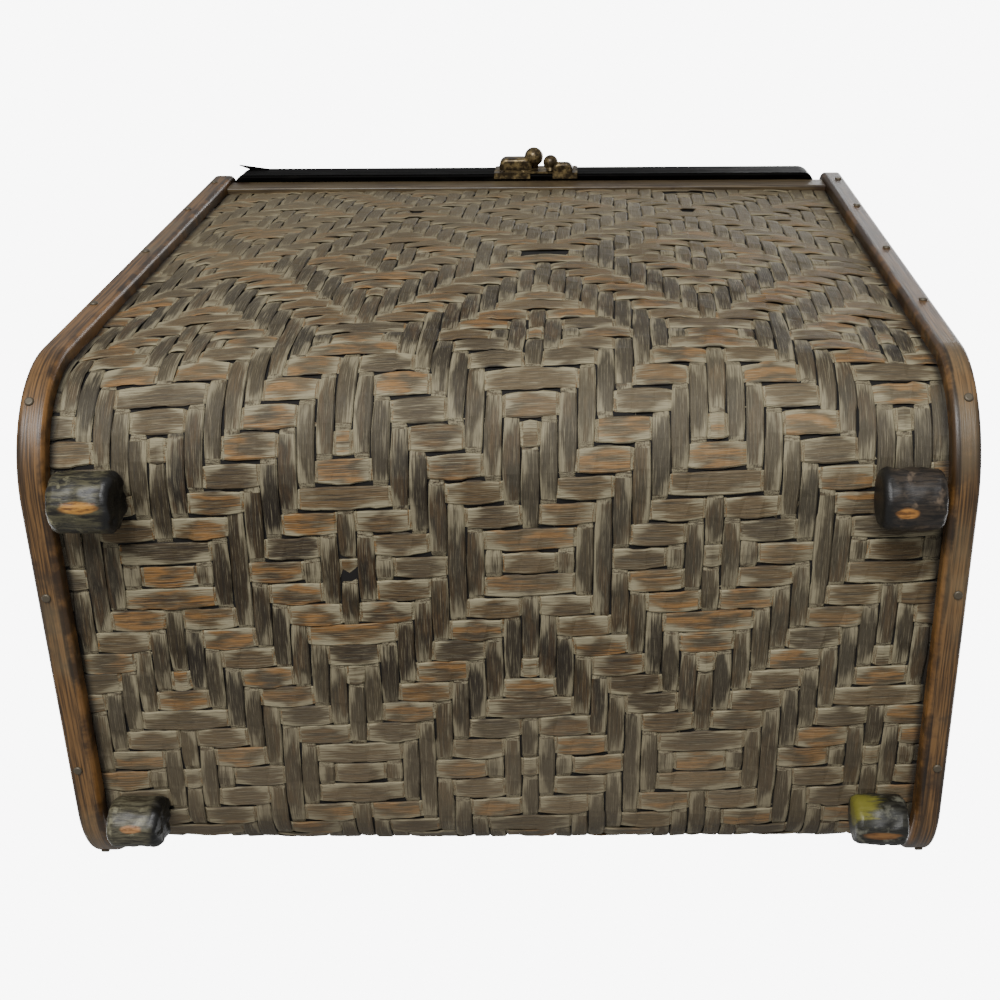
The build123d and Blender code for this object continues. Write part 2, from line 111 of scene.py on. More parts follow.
# Where dust, wear and a painted highlight lie on the mat, in millimetres: how much, the heights
# and the places from front to back between which the wash comes in, and its colour.
WASHES = ((0.52, (60, 210), (-62, -78), "#6e634a"),     # dust evens out the front's upper half
          (0.06, (55, 25), (-45, -70), "#c9bfa4"),      # the front bend is rubbed pale, and paler still as a painted highlight where it faces the light
          (0.35, (40, 20), (0, 60), "#6a5f4b"))         # the bottom's rear half is duller
HOOP_INSIDE = (128.5, 131.2)            # painted shade on the mat from here out to the hoop, in the corner where they meet


def drawn_out(tree, seed, per_mm, detail, roughness):
    """A pattern drawn out along a strip, which starts again on each float."""
    along = add(tree, "Attribute", attribute_name="along", out="Fac")
    across = add(tree, "Attribute", attribute_name="across", out="Fac")
    at = add(tree, "CombineXYZ", {0: add(tree, "Math", {0: along, 1: per_mm[0]}, operation="MULTIPLY"),
                                  1: add(tree, "Math", {0: across, 1: per_mm[1]}, operation="MULTIPLY"),
                                  2: seed})
    return add(tree, "TexNoise", {"Vector": at, "Scale": 1.0, "Detail": detail, "Roughness": roughness},
               out="Fac")


def bamboo_strip(name, heart, dark, pale, warm, streak_share, warm_share, clamped=True):
    """Split bamboo, stained and then worn: dull, with fine streaks along each strip. Each float is
    darkest at its middle and bleached where it dives under its neighbours."""
    made, tree, shader = new_material(name)
    crown = add(tree, "Attribute", attribute_name="crown", out="Fac")
    tone = add(tree, "Attribute", attribute_name="tone", out="Fac")
    edge = add(tree, "Attribute", attribute_name="edge", out="Fac")
    seed = add(tree, "Math", {0: tone, 1: 37.0}, operation="MULTIPLY")
    fibres = drawn_out(tree, seed, FIBRES, 5.0, 0.66)
    hairs = drawn_out(tree, seed, HAIRS, 3.0, 0.6)
    broad = drawn_out(tree, seed, BROAD, 2.0, 0.5)

    # How much stain is left: most at the float's middle, in streaks, and more to one side.
    left = add(tree, "Math", {0: broad, 1: 1.9, 2: -0.95}, operation="MULTIPLY_ADD")
    left = add(tree, "Math", {0: left, 1: crown}, operation="ADD")
    streaky = add(tree, "Math", {0: fibres, 1: 2.6, 2: -1.3}, operation="MULTIPLY_ADD")
    left = add(tree, "Math", {0: left, 1: streaky}, operation="ADD")
    lean = add(tree, "Math", {0: tone, 1: 13.7}, operation="MULTIPLY")
    lean = add(tree, "Math", {0: lean}, operation="FRACT")
    lean = add(tree, "Math", {0: lean, 1: 1.3, 2: -0.65}, operation="MULTIPLY_ADD")
    left = add(tree, "Math", {0: edge, 1: lean, 2: left}, operation="MULTIPLY_ADD")
    rounded = add(tree, "Math", {0: edge, 1: edge}, operation="MULTIPLY")
    left = add(tree, "Math", {0: rounded, 1: -0.5, 2: left}, operation="MULTIPLY_ADD")
    stained = add(tree, "MapRange", {0: left, 1: -0.32, 2: 0.42}, **EASED)

    # Some floats glow orange where the stain has thinned.
    deep = add(tree, "MapRange", {0: tone, 1: 0.2, 2: 0.85}, **EASED)
    stain = add(tree, "Mix", {0: deep, 6: srgb(heart), 7: srgb(dark)}, **TINT)
    chosen = add(tree, "Math", {0: seed}, operation="FRACT")
    chosen = add(tree, "MapRange", {0: chosen, 1: 0.35, 2: 0.7, 4: warm_share}, **EASED)
    thinned = add(tree, "MapRange", {0: broad, 1: 0.42, 2: 0.62}, **EASED)
    glow = add(tree, "Math", {0: chosen, 1: thinned}, operation="MULTIPLY")
    stain = add(tree, "Mix", {0: glow, 6: stain, 7: srgb(warm)}, **TINT)
    colour = add(tree, "Mix", {0: stained, 6: srgb(pale), 7: stain}, **TINT)

    # Black streaks lie in the stain, and bleached and dark hairs over everything.
    streaks = add(tree, "MapRange", {0: fibres, 1: 0.52, 2: 0.39, 4: streak_share}, **EASED)
    cover = add(tree, "Math", {0: stained, 1: 0.25}, operation="ADD", use_clamp=True)
    streaks = add(tree, "Math", {0: streaks, 1: cover}, operation="MULTIPLY")
    colour = add(tree, "Mix", {0: streaks, 6: colour, 7: srgb("#1c150c")}, **TINT)
    bleached = add(tree, "MapRange", {0: hairs, 1: 0.54, 2: 0.68, 4: 0.6}, **EASED)
    colour = add(tree, "Mix", {0: bleached, 6: colour, 7: srgb(pale)}, **TINT)
    splits = add(tree, "MapRange", {0: hairs, 1: 0.46, 2: 0.34, 4: 0.6}, **EASED)
    colour = add(tree, "Mix", {0: splits, 6: colour, 7: srgb("#2b2318")}, **TINT)

    # Dust lies as a thin pale film in uneven patches.
    place = add(tree, "TexCoord", out="Object")
    x, y, z = add(tree, "SeparateXYZ", {0: place}).node.outputs
    dust = add(tree, "TexNoise", {"Vector": place, "Scale": DUST_PATCHES, "Detail": 3.0,
                                  "Roughness": 0.55}, out="Fac")
    dust = add(tree, "MapRange", {0: dust, 1: 0.35, 2: 0.7, 4: 0.12}, **EASED)
    colour = add(tree, "Mix", {0: dust, 6: colour, 7: srgb("#a0967c")}, **TINT)
    for share, heights, depths, code in WASHES:
        high = add(tree, "MapRange", {0: z, 1: heights[0] * MM, 2: heights[1] * MM}, **EASED)
        deep = add(tree, "MapRange", {0: y, 1: depths[0] * MM, 2: depths[1] * MM, 4: share}, **EASED)
        wash = add(tree, "Math", {0: high, 1: deep}, operation="MULTIPLY")
        colour = add(tree, "Mix", {0: wash, 6: colour, 7: srgb(code)}, **TINT)

    # The strip's own edges are darkened, and the mat beside each hoop carries painted shade in the corner
    # where it meets the hoop.
    rim = add(tree, "Math", {0: edge}, operation="ABSOLUTE")
    rim = add(tree, "MapRange", {0: rim, 1: 0.9, 2: 1.0, 4: 0.75}, **EASED)
    colour = add(tree, "Mix", {0: rim, 6: colour, 7: srgb("#17120b")}, **TINT)
    if clamped:
        beside = add(tree, "Math", {0: x}, operation="ABSOLUTE")
        beside = add(tree, "MapRange", {0: beside, 1: HOOP_INSIDE[0] * MM, 2: HOOP_INSIDE[1] * MM,
                                        4: 0.85}, **EASED)
        colour = add(tree, "Mix", {0: beside, 6: colour, 7: srgb("#120d08")}, **TINT)
    relief = add(tree, "Math", {0: hairs, 1: 0.5, 2: fibres}, operation="MULTIPLY_ADD")
    bump = add(tree, "Bump", {"Height": relief, "Strength": 0.7, "Distance": 0.6 * MM})
    feed(shader, {"Base Color": colour, "Roughness": 0.62, "Specular IOR Level": 0.35, "Normal": bump})
    return made


def cane_band(name, base, dark, pale, is_hoop, grain_scale):
    """Cane, split, bent and varnished, the varnish worn: a soft shine, dark grain along the band,
    brown stains and a grey bloom."""
    made, tree, shader = new_material(name)
    place = add(tree, "TexCoord", out="Object")
    grain_at = add(tree, "Mapping", {"Vector": place, "Scale": grain_scale})
    grain = add(tree, "TexNoise", {"Vector": grain_at, "Scale": 1.0, "Detail": 4.0, "Roughness": 0.6},
                out="Fac")
    stains = add(tree, "TexNoise", {"Vector": place, "Scale": CANE_STAINS, "Detail": 5.0,
                                    "Roughness": 0.65}, out="Fac")
    lines = add(tree, "MapRange", {0: grain, 1: 0.38, 2: 0.62}, **EASED)
    colour = add(tree, "Mix", {0: lines, 6: srgb(dark), 7: srgb(base)}, **TINT)
    stained = add(tree, "MapRange", {0: stains, 1: 0.5, 2: 0.66, 4: 0.8}, **EASED)
    colour = add(tree, "Mix", {0: stained, 6: colour, 7: srgb("#2c1c10")}, **TINT)
    bloom = add(tree, "TexNoise", {"Vector": place, "Scale": CANE_BLOOM, "Detail": 3.0,
                                   "Roughness": 0.55}, out="Fac")
    bloom = add(tree, "MapRange", {0: bloom, 1: 0.5, 2: 0.7, 4: 0.45}, **EASED)
    colour = add(tree, "Mix", {0: bloom, 6: colour, 7: srgb(pale)}, **TINT)
    if is_hoop:
        x, _, z = add(tree, "SeparateXYZ", {0: place}).node.outputs
        out = add(tree, "Math", {0: x}, operation="ABSOLUTE")
        # Painted highlight: the hoop's inner wall is painted a lighter orange where light catches it.
        painted_wall_highlight = add(tree, "MapRange", {0: out, 1: 133.1 * MM, 2: 132.2 * MM, 4: 0.5}, **EASED)
        colour = add(tree, "Mix", {0: painted_wall_highlight, 6: colour, 7: srgb("#8a5f2c")}, **TINT)
        # Painted shade along both edges of the band, where its rounded edges turn away and beside the mat,
        # thicker where it is stained.
        outer = add(tree, "MapRange", {0: out, 1: 137.6 * MM, 2: 139.6 * MM}, **EASED)
        inner = add(tree, "MapRange", {0: out, 1: 134.2 * MM, 2: 133.4 * MM}, **EASED)
        painted_edge_shade = add(tree, "Math", {0: outer, 1: inner}, operation="MAXIMUM")
        thick = add(tree, "MapRange", {0: stains, 1: 0.38, 2: 0.55, 4: 0.8}, **EASED)
        painted_edge_shade = add(tree, "Math", {0: painted_edge_shade, 1: thick}, operation="MULTIPLY")
        colour = add(tree, "Mix", {0: painted_edge_shade, 6: colour, 7: srgb("#1a1109")}, **TINT)
        # The right hoop has darkened up the bag's front more than the left one has.
        right = add(tree, "MapRange", {0: x, 1: 120 * MM, 2: 130 * MM}, **EASED)
        high = add(tree, "MapRange", {0: z, 1: 40 * MM, 2: 120 * MM, 4: 0.42}, **EASED)
        darkened = add(tree, "Math", {0: right, 1: high}, operation="MULTIPLY")
        colour = add(tree, "Mix", {0: darkened, 6: colour, 7: srgb("#24170c")}, **TINT)
    bump = add(tree, "Bump", {"Height": grain, "Strength": 0.35, "Distance": 0.4 * MM})
    feed(shader, {"Base Color": colour, "Roughness": 0.4, "Normal": bump})
    return made


def lacquer(name):
    """Wood brushed with black lacquer: deep and smooth, rubbed grey where hands and dust reach."""
    made, tree, shader = new_material(name)
    place = add(tree, "TexCoord", out="Object")
    rubs_at = add(tree, "Mapping", {"Vector": place, "Scale": LACQUER_RUBS})
    rubs = add(tree, "TexNoise", {"Vector": rubs_at, "Scale": 1.0, "Detail": 4.0, "Roughness": 0.6},
               out="Fac")
    rubbed = add(tree, "MapRange", {0: rubs, 1: 0.52, 2: 0.75}, **EASED)
    colour = add(tree, "Mix", {0: rubbed, 6: srgb("#020101"), 7: srgb("#11100d")}, **TINT)
    dull = add(tree, "Math", {0: rubs, 1: 0.4, 2: 0.3}, operation="MULTIPLY_ADD")
    feed(shader, {"Base Color": colour, "Roughness": dull, "Specular IOR Level": 0.03})
    return made


def aged_brass(name):
    """Sheet brass, pressed and aged: a brown film over it, bright where it is rubbed."""
    made, tree, shader = new_material(name)
    place = add(tree, "TexCoord", out="Object")
    film = add(tree, "TexNoise", {"Vector": place, "Scale": BRASS_FILM, "Detail": 5.0,
                                  "Roughness": 0.65}, out="Fac")
    rubbed = add(tree, "MapRange", {0: film, 1: 0.42, 2: 0.7}, **EASED)
    colour = add(tree, "Mix", {0: rubbed, 6: srgb("#33291a"), 7: srgb("#8d7a52")}, **TINT)
    dull = add(tree, "Math", {0: film, 1: 0.35, 2: 0.2}, operation="MULTIPLY_ADD")
    bump = add(tree, "Bump", {"Height": film, "Strength": 0.25, "Distance": 0.3 * MM})
    feed(shader, {"Base Color": colour, "Metallic": 0.6, "Roughness": dull, "Normal": bump})
    return made


def plain(name, code, roughness, metallic=0.0):
    """One even finish, for small or hidden pieces."""
    made, _, shader = new_material(name)
    feed(shader, {"Base Color": srgb(code), "Roughness": roughness, "Metallic": metallic})
    return made


def peg_paint(name, base, dark, light, worn, patch, moss=None, end=None):
    """A turned wooden peg, brushed with paint long ago: streaked and blotched, half dull, and worn
    to orange wood underneath. Places are in millimetres."""
    made, tree, shader = new_material(name)
    place = add(tree, "TexCoord", out="Object")
    streaks_at = add(tree, "Mapping", {"Vector": place, "Scale": PEG_STREAKS})
    streaks = add(tree, "TexNoise", {"Vector": streaks_at, "Scale": 1.0, "Detail": 5.0,
                                     "Roughness": 0.65}, out="Fac")
    blotch = add(tree, "TexNoise", {"Vector": place, "Scale": PEG_BLOTCHES, "Detail": 4.0,
                                    "Roughness": 0.6}, out="Fac")
    lines = add(tree, "MapRange", {0: streaks, 1: 0.4, 2: 0.62}, **EASED)
    colour = add(tree, "Mix", {0: lines, 6: srgb(dark), 7: srgb(base)}, **TINT)
    blotched = add(tree, "MapRange", {0: blotch, 1: 0.55, 2: 0.72}, **EASED)
    colour = add(tree, "Mix", {0: blotched, 6: colour, 7: srgb(light)}, **TINT)
    if moss:
        # Yellow-green growth where the peg stays damp.
        spot, reach = moss
        off = add(tree, "VectorMath", {0: place, 1: Vector(spot) * MM}, out="Value", operation="DISTANCE")
        off = add(tree, "Math", {0: off, 1: reach * MM}, operation="DIVIDE")
        ragged = add(tree, "Math", {0: streaks, 1: 1.6, 2: -0.8}, operation="MULTIPLY_ADD")
        grown = add(tree, "Math", {0: off, 1: ragged}, operation="ADD")
        grown = add(tree, "MapRange", {0: grown, 1: 1.0, 2: 0.55}, **EASED)
        colour = add(tree, "Mix", {0: grown, 6: colour, 7: srgb("#6e6a28")}, **TINT)
    if end:
        # The sawn inner end has gone black.
        plane, way, code = end
        x = add(tree, "SeparateXYZ", {0: place})
        past = add(tree, "Math", {0: x, 1: way / MM, 2: -plane * way}, operation="MULTIPLY_ADD")
        ragged = add(tree, "Math", {0: blotch, 1: 5.0, 2: -2.5}, operation="MULTIPLY_ADD")
        past = add(tree, "Math", {0: past, 1: ragged}, operation="ADD")
        past = add(tree, "MapRange", {0: past, 1: -4.5, 2: -1.5}, **EASED)
        colour = add(tree, "Mix", {0: past, 6: colour, 7: srgb(code)}, **TINT)
    # The lowest line is rubbed through to the wood in a long lens-shaped patch.
    spot, size = patch
    off = add(tree, "VectorMath", {0: place, 1: Vector(spot) * MM}, operation="SUBTRACT")
    off = add(tree, "VectorMath", {0: off, 1: Vector([1 / (v * MM) for v in size])}, operation="MULTIPLY")
    off = add(tree, "VectorMath", {0: off}, out="Value", operation="LENGTH")
    ragged = add(tree, "Math", {0: streaks, 1: 1.1, 2: -0.55}, operation="MULTIPLY_ADD")
    rubbed = add(tree, "Math", {0: off, 1: ragged}, operation="ADD")
    rubbed = add(tree, "MapRange", {0: rubbed, 1: 1.05, 2: 0.7}, **EASED)
    grain = add(tree, "MapRange", {0: streaks, 1: 0.38, 2: 0.6}, **EASED)
    bare = add(tree, "Mix", {0: grain, 6: srgb("#5a3a1a"), 7: srgb(worn)}, **TINT)
    colour = add(tree, "Mix", {0: rubbed, 6: colour, 7: bare}, **TINT)
    bump = add(tree, "Bump", {"Height": streaks, "Strength": 0.4, "Distance": 0.5 * MM})
    feed(shader, {"Base Color": colour, "Roughness": 0.46, "Normal": bump})
    return made


# ---- the weave --------------------------------------------------------------------------
MIRROR = 10                             # strips between the mirror lines of the diamonds
STEPS = (-0.34, 0.0, 0.34)              # a strip bends at these parts of each crossing
THICK, LIFT = 0.8, 0.62                 # a strip, and how far it rises or dips at a crossing
EASE = 0.5                              # a strip's rounded edges
SINK = 0.9                              # how far a cracked strip drops
ROW_WIDTH, COLUMN_WIDTH = 7.6, 5.4      # the mat's strips
LAYERS = ("along", "across", "edge", "crown", "tone")
# Crossings where a strip has cracked and dropped along its lower (-1) or upper (1) edge.
CRACKED = {(-10, 0): -1, (0, -20): 1, (-1, -20): 1, (1, -20): 1, (-10, -30): 1, (10, -30): 1,
           (9, -36): 1, (10, -36): 1, (11, -36): 1, (12, -36): 1}


def fold(n):
    """Counts up to ten and back down, over and over: the mirror lines of the diamonds."""
    m = n % (2 * MIRROR)
    return 2 * MIRROR - m if m > MIRROR else m


def row_on_top(i, j):
    """Whether the row strip j passes over the column strip i: a twill of over three, under three."""
    a, b = fold(i), fold(j)
    if (a, b) in ((MIRROR, 0), (0, MIRROR)):
        return True
    return (a - b + 1) % 6 < 3


def floats(tops):
    """For each crossing: the middle and half length of the run of equal crossings it is in."""
    found, start = [], 0
    for k in range(1, len(tops) + 1):
        if k == len(tops) or tops[k] != tops[start]:
            found += [((start + k - 1) / 2, (k - start) / 2)] * (k - start)
            start = k
    return found


def lay_strip(bm, layers, tops, width, centre, point, seed, crack):
    """One strip: a flat-topped band with eased edges that follows its overs and unders.
    centre(t) gives the middle of the strip at crossing t, point(t, side, up) a place on it, and
    crack(k) the edge along which crossing k has dropped, or 0."""
    runs = floats(tops)
    stations = [k + step for k in range(len(tops)) for step in STEPS]
    half, thin = width / 2, THICK / 2
    ring = [(EASE - half, -thin), (-half, 0), (EASE - half, thin), (half - EASE, thin), (half, 0),
            (half - EASE, -thin), (EASE - half, -thin)]
    lengths, sides = len(stations) - 1, len(ring) - 1
    made = bmesh.ops.create_grid(bm, x_segments=lengths, y_segments=sides, size=1.0)["verts"]
    # Each crossing is cut by hand: a little off the line, wider or narrower, higher, tilted.
    own = random.Random(seed)
    shift_of = [own.uniform(-0.22, 0.22) for _ in tops]
    wide_of = [own.uniform(0.93, 1.03) for _ in tops]
    lift_of = [own.uniform(0.75, 1.25) for _ in tops]
    tilt_of = [own.uniform(-0.07, 0.07) for _ in tops]
    strip_tone = own.random()
    tone_of = {}
    travelled = [0.0]
    for a, b in zip(stations, stations[1:]):
        travelled.append(travelled[-1] + (centre(b) - centre(a)).length / MM)
    for vert in made:
        column = round((vert.co.x + 1) / 2 * lengths)
        corner = round((vert.co.y + 1) / 2 * sides)
        t = stations[column]
        cell = min(max(int(math.floor(t + 0.5)), 0), len(tops) - 1)
        middle, reach = runs[cell]
        off = abs(t - middle) / reach
        arch = max(0.0, 1 - off ** 2)
        side, up = ring[corner]
        side = side * wide_of[cell] * (0.86 + 0.16 * arch) + shift_of[cell]
        rise = LIFT * lift_of[cell] * (0.28 + 0.85 * arch)
        up += (rise if tops[cell] else -rise) + side * tilt_of[cell]
        lean = crack(cell)
        if lean:
            up -= SINK * (1 + lean * side / half)
        vert.co = point(t, side, up)
        if middle not in tone_of:
            tone_of[middle] = min(max(strip_tone * 0.5 + own.random() * 0.5, 0.0), 1.0)
        short = 0.25 if reach < 0.6 else 1.0
        vert[layers["along"]] = travelled[column] + seed * 41.0
        vert[layers["across"]] = side + seed * 9.0
        vert[layers["edge"]] = side / half
        vert[layers["crown"]] = short * max(0.0, 1.0 - off) if tops[cell] else 0.0
        vert[layers["tone"]] = tone_of[middle]


def hand_over(bm, name, material, body):
    """Turns a bmesh into a finished piece that rides on a body."""
    bmesh.ops.recalc_face_normals(bm, faces=bm.faces)
    mesh = bpy.data.meshes.new(name)
    bm.to_mesh(mesh)
    bm.free()
    mesh.materials.append(material)
    made = bpy.data.objects.new(name, mesh)
    bpy.context.scene.collection.objects.link(made)
    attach(made, body)
    return made


def weave(name, material, body, strips):
    """Lays a set of strips into one mesh. strips yields what lay_strip takes after the layers."""
    bm = bmesh.new()
    layers = {key: bm.verts.layers.float.new(key) for key in LAYERS}
    for strip in strips:
        lay_strip(bm, layers, *strip)
    return hand_over(bm, name, material, body)


def woven_pair(name, body, materials, place, x_of, s_of, i_range, j_range, widths, cracks=None):
    """Rows and columns of one woven panel, as two meshes that pass over and under each other."""
    (i0, i1), (j0, j1) = i_range, j_range
    row_width, column_width = widths
    cracks = cracks or {}

    def rows():
        for j in range(j0, j1 + 1):
            def centre(t, j=j):
                return place(x_of(i0 + t, j), s_of(i0 + t, j), 0)

            def point(t, side, up, j=j):
                return place(x_of(i0 + t, j), s_of(i0 + t, j) + side, up)
            tops = [row_on_top(i, j) for i in range(i0, i1 + 1)]
            yield tops, row_width, centre, point, j + 200, lambda k, j=j: cracks.get((i0 + k, j), 0)

    def columns():
        for i in range(i0, i1 + 1):
            def centre(t, i=i):
                return place(x_of(i, j0 + t), s_of(i, j0 + t), 0)

            def point(t, side, up, i=i):
                return place(x_of(i, j0 + t) + side, s_of(i, j0 + t), up)
            tops = [not row_on_top(i, j) for j in range(j0, j1 + 1)]
            yield tops, column_width, centre, point, i + 400, lambda k, i=i: cracks.get((i, j0 + k), 0)
    return (weave(name + "_rows", materials[0], body, rows()),
            weave(name + "_columns", materials[1], body, columns()))


def painted_shade_sheet(name, node, body, place, x_range, s_range, cuts):
    """Painted shade inside a weave: a thin dark sheet between its two layers, seen only through gaps."""
    bm = bmesh.new()
    bmesh.ops.create_grid(bm, x_segments=cuts[0], y_segments=cuts[1], size=1.0)
    for vert in bm.verts:
        u, v = (vert.co.x + 1) / 2, (vert.co.y + 1) / 2
        vert.co = place(x_range[0] + u * (x_range[1] - x_range[0]),
                        s_range[0] + v * (s_range[1] - s_range[0]), 0)
    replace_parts(hand_over(bm, name, painted_gap_shade, body), node)


# Base, deep, bleached and glowing colours of a strip, and its shares of streaks and of glow.
TAN = ("#5a4628", "#3c2f1a", "#958c70", "#8c6330", 0.8, 0.9)
STAINED = ("#342a17", "#1e170c", "#8d846a", "#5a4123", 0.8, 0.4)
mat_bamboo = (bamboo_strip("bamboo_strips_rubbed_tan", *TAN),
              bamboo_strip("bamboo_strips_stained_dark", *STAINED))
panel_bamboo = (bamboo_strip("bamboo_panel_rubbed_tan", *TAN, clamped=False),
                bamboo_strip("bamboo_panel_stained_dark", *STAINED, clamped=False))
# Painted shade between the strips: near black and without shine.
painted_gap_shade = plain("painted_shade_in_the_weave", "#0b0805", 0.9)

# ---- the mat ----------------------------------------------------------------------------
FRONT_ARC = (FRONT_R - MID) * math.pi / 2
BACK_ARC = (BACK_R - MID) * math.pi / 2
BOTTOM = DEPTH - FRONT_R - BACK_R
S_FRONT = FRONT_ARC + MOUTH - FRONT_R
S_BACK = -(BOTTOM + BACK_ARC + MOUTH - BACK_R)
# Row numbers, and how far the rows there have crept along the mat.
DRIFT = ((-30, -1.0), (-20, 3.0), (-10, 1.2), (0, -1.6), (10, 1.7))


def drift(j):
    """How far row j has crept along the mat: the rows crowd in places and spread in others."""
    if j <= DRIFT[0][0]:
        return DRIFT[0][1]
    for (a, low), (b, high) in zip(DRIFT, DRIFT[1:]):
        if j <= b:
            share = (j - a) / (b - a)
            return low + (high - low) * share * share * (3 - 2 * share)
    return DRIFT[-1][1]


def mat_x(i, j):
    """The columns stand 5.47 mm apart and lean a little."""
    return 8.63 + 5.47 * i - 0.141 * j


def mat_s(i, j):
    """The rows lie 7.73 mm apart and climb a little to the right."""
    return -19.6 + 0.211 * i - 7.73 * j + drift(j)


def mat_place(x, s, up):
    """A place on the mat: x across the bag, s along it from the front bend, up off its middle."""
    x = min(max(x, -MAT_X), MAT_X)
    s = min(max(s, S_BACK), S_FRONT)
    free = max(0.0, 1 - (abs(x) / BELLY_X) ** 2.6)
    if s > 0:
        up += BELLY * math.sin(math.pi * s / S_FRONT) * free
    elif s < -BOTTOM:
        up += BACK_BELLY * math.sin(math.pi * (-BOTTOM - s) / (-BOTTOM - S_BACK)) * free
    if s > FRONT_ARC:
        y, z = MID - up, FRONT_R + s - FRONT_ARC
    elif s > 0:
        turn, r = s / (FRONT_R - MID), FRONT_R - MID + up
        y, z = FRONT_R - r * math.sin(turn), FRONT_R - r * math.cos(turn)
    elif s > -BOTTOM:
        y, z = FRONT_R - s, MID - up
    elif s > -BOTTOM - BACK_ARC:
        turn, r = (-BOTTOM - s) / (BACK_R - MID), BACK_R - MID + up
        y, z = DEPTH - BACK_R + r * math.sin(turn), BACK_R - r * math.cos(turn)
    else:
        y, z = DEPTH - MID + up, BACK_R - BOTTOM - BACK_ARC - s
    return Vector((x, y + FRONT, z + GROUND)) * MM


painted_shade_sheet("mat_painted_shade_sheet", "woven_mat", "case", mat_place, (-MAT_X, MAT_X), (S_BACK, S_FRONT), (48, 220))
mat_rows, _ = woven_pair("mat", "case", mat_bamboo, mat_place, mat_x, mat_s, (-28, 25), (-39, 47),
                         (ROW_WIDTH, COLUMN_WIDTH), CRACKED)
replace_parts(mat_rows, "woven_mat")

# ---- side panels and lid ----------------------------------------------------------------
PANEL_MARGIN = 0.3                      # the strips stop this far inside a panel's edges
PANEL_IN = 7.3                          # the side panels' edges inside the hoops' outline
SHADE_SHEET_RISE = 2.0                         # the side shade sheets rise behind the hoops above the panels


def inside(value, low, high):
    return min(max(value, low + PANEL_MARGIN), high - PANEL_MARGIN)


def side_place(side, sign, rise=0.0):
    """Places on a side panel: x from front to back, s up it, in from the hoop's lower bends."""
    lo, hi = (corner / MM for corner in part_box("side_panel_" + side))

    def place(x, s, up):
        y, z = inside(x, lo.y, hi.y), inside(s, lo.z, hi.z + rise)
        for way, bend, along in ((-1, FRONT_R, FRONT + FRONT_R), (1, BACK_R, FRONT + DEPTH - BACK_R)):
            dy, dz = y - along, z - GROUND - bend
            far, reach = math.hypot(dy, dz), bend - PANEL_IN - PANEL_MARGIN
            if dy * way > 0 and dz < 0 and far > reach:
                y, z = along + dy * reach / far, GROUND + bend + dz * reach / far
        return Vector(((lo.x + hi.x) / 2 + sign * up, y, z)) * MM
    return place


def lid_place(x, s, up):
    """Places on the lid's panel: x across the bag, s from front to back."""
    lo, hi = (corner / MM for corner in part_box("lid_panel"))
    return Vector((inside(x, lo.x, hi.x), inside(s, lo.y, hi.y), (lo.z + hi.z) / 2 + up)) * MM


painted_shade_sheet("lid_painted_shade_sheet", "lid_panel", "lid", lid_place, (-130, 130), (-90, 95), (2, 2))
for side, sign in (("left", -1), ("right", 1)):
    painted_shade_sheet("side_painted_shade_sheet_" + side, "side_panel_" + side, "case", side_place(side, sign, SHADE_SHEET_RISE),
         (-86, 92), (15, 285), (60, 90))
    pair = woven_pair("side_" + side, "case", panel_bamboo, side_place(side, sign),
                      lambda i, j: 3.5 + 6.3 * i, lambda i, j: 148.0 - 7.4 * j,
                      (-13, 13), (-18, 18), (7.2, 6.1))
    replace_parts(pair[0], "side_panel_" + side)
pair = woven_pair("lid_top", "lid", panel_bamboo, lid_place,
                  lambda i, j: -1.5 + 5.8 * i, lambda i, j: 3.5 - 6.6 * j,
                  (-21, 21), (-12, 12), (6.5, 5.7))
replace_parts(pair[0], "lid_panel")

# ---- finishes on the CAD pieces ---------------------------------------------------------
hoop = cane_band("cane_hoop_worn_varnish", "#755632", "#3b2a17", "#7f7054", True, HOOP_GRAIN)
handle_cane = cane_band("cane_handle_varnished", "#7d5530", "#4a3220", "#8d7d6a", False, GRAIN_ALONG_X)
binding = cane_band("split_bamboo_binding", "#574932", "#3a2f1f", "#6b6047", False, GRAIN_ALONG_X)
inner_wood = cane_band("plain_wood_dry", "#5f4930", "#3b2b1b", "#70624a", False, HOOP_GRAIN)
black = lacquer("black_lacquer_rubbed")
brass = aged_brass("pressed_brass_aged")
# Drawn steel nails gone dull and brown: a little metal shine, no bright points.
steel = plain("steel_nail_dull", "#5c5446", 0.5, 0.5)

# The first of these words that is in a node's name gives its finish.
FINISHES = {"clasp": brass, "outer_hoop": hoop, "frame_hoop": inner_wood, "binding_strip": binding,
            "inner_strip": inner_wood, "rail": black, "lid_frame": black, "retaining_ring": inner_wood,
            "hinge": brass, "bracket": brass, "handle_pin": brass, "handle": handle_cane,
            "brads": steel, "tacks": steel, "nails": steel}
for name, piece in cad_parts.items():
    chosen = [material for word, material in FINISHES.items() if word in name]
    for slot in piece.material_slots if chosen else ():
        slot.material = chosen[0]

# ---- feet -------------------------------------------------------------------------------
PEG_RADIUS = 9.0
PEG_AXIS = 8.0                          # a peg's axis under its flat top
TORN = 5.0                              # this much of a ragged peg's inner end is torn
GREEN_GREY = ("#4c4833", "#15120b", "#8a8568", "#b5823a")
BLACK_BROWN = ("#332a20", "#110c08", "#5e5040", "#ad783a")
GREY_GREEN = ("#565240", "#2a261b", "#7d7962", "#a5784c")
BLUE_BLACK = ("#2f2e26", "#11100b", "#626154", "#7d5830")


